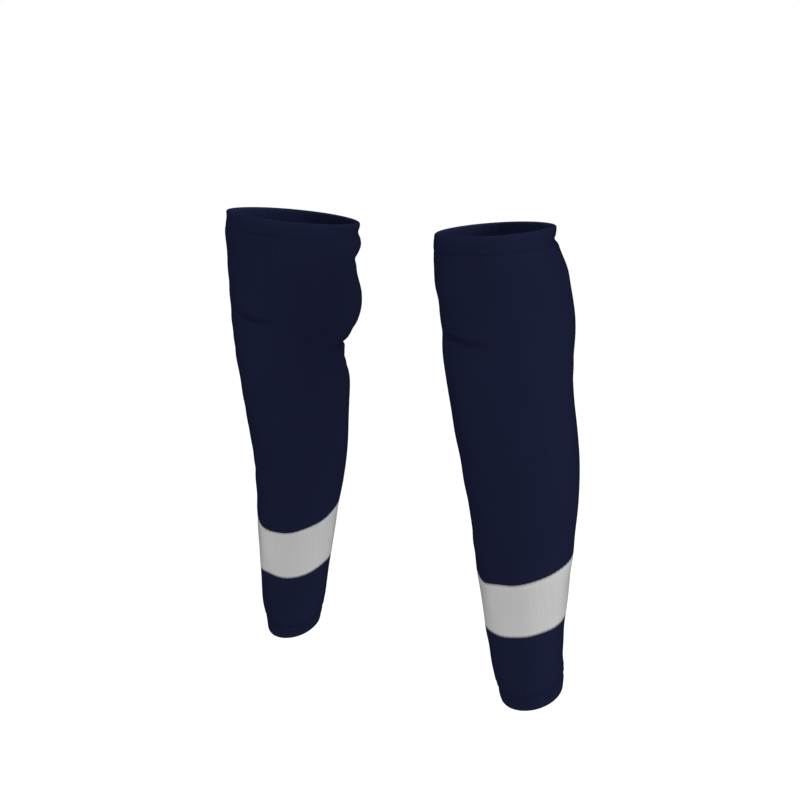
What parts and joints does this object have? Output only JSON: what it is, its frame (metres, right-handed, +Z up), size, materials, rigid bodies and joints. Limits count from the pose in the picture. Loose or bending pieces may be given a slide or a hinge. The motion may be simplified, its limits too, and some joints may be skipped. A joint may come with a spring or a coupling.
{
  "type": "pair of ice hockey socks",
  "caption": "Pair of footless knit leg tubes for ice hockey in their worn shape, wide at the thigh, bent softly at the knee, with hemmed ends and a contrasting band low on the shin.",
  "frame": {"origin": "midway between the two thigh openings, level with the centre of the right one, on the wearer's middle plane", "axes": "+Z up along the standing wearer, -Y the way the wearer faces, +X the wearer's left"},
  "size_m": [0.5106, 0.1997, 0.6234],
  "materials": {
    "navy_knit": "matt polyester knit, dark navy",
    "grey_knit": "matt polyester knit, light grey",
    "navy_thread": "textured polyester thread, dark navy",
    "grey_thread": "textured polyester thread, light grey",
    "elastic": "braided elastic tape, off-white"
  },
  "bodies": {
    "left_thigh": {"left_top_hem": "navy_knit", "left_top_elastic": "elastic", "left_top_hem_stitching": "navy_thread", "left_thigh_panel": "navy_knit", "left_back_seam_upper": "navy_thread", "left_knee_panel": "navy_knit"},
    "left_shin": {"left_shin_panel": "navy_knit", "left_stripe_upper_stitching": "grey_thread", "left_stripe_band": "grey_knit", "left_stripe_lower_stitching": "grey_thread", "left_ankle_panel": "navy_knit", "left_ankle_hem_stitching": "navy_thread", "left_ankle_hem": "navy_knit", "left_ankle_elastic": "elastic", "left_back_seam_lower": "navy_thread"},
    "right_thigh": {"right_top_hem": "navy_knit", "right_top_elastic": "elastic", "right_top_hem_stitching": "navy_thread", "right_thigh_panel": "navy_knit", "right_back_seam_upper": "navy_thread", "right_knee_panel": "navy_knit"},
    "right_shin": {"right_shin_panel": "navy_knit", "right_stripe_upper_stitching": "grey_thread", "right_stripe_band": "grey_knit", "right_stripe_lower_stitching": "grey_thread", "right_ankle_panel": "navy_knit", "right_ankle_hem_stitching": "navy_thread", "right_ankle_hem": "navy_knit", "right_ankle_elastic": "elastic", "right_back_seam_lower": "navy_thread"}
  },
  "joints": [
    {"name": "left_knee", "type": "hinge", "parent": "left_thigh", "child": "left_shin", "pos_m": [0.17005, 0.03459, -0.18], "axis": [0.9397, 0.342, 0], "range_deg": [0, 90], "deforming": ["left_knee_panel"]},
    {"name": "right_sock_slide", "type": "slide", "parent": "left_thigh", "child": "right_thigh", "axis": [-1, 0, 0], "range_m": [0, 0.3]},
    {"name": "right_knee", "type": "hinge", "parent": "right_thigh", "child": "right_shin", "pos_m": [-0.17005, 0.03459, -0.18], "axis": [0.9397, -0.342, 0], "range_deg": [0, 90], "deforming": ["right_knee_panel"]}
  ]
}
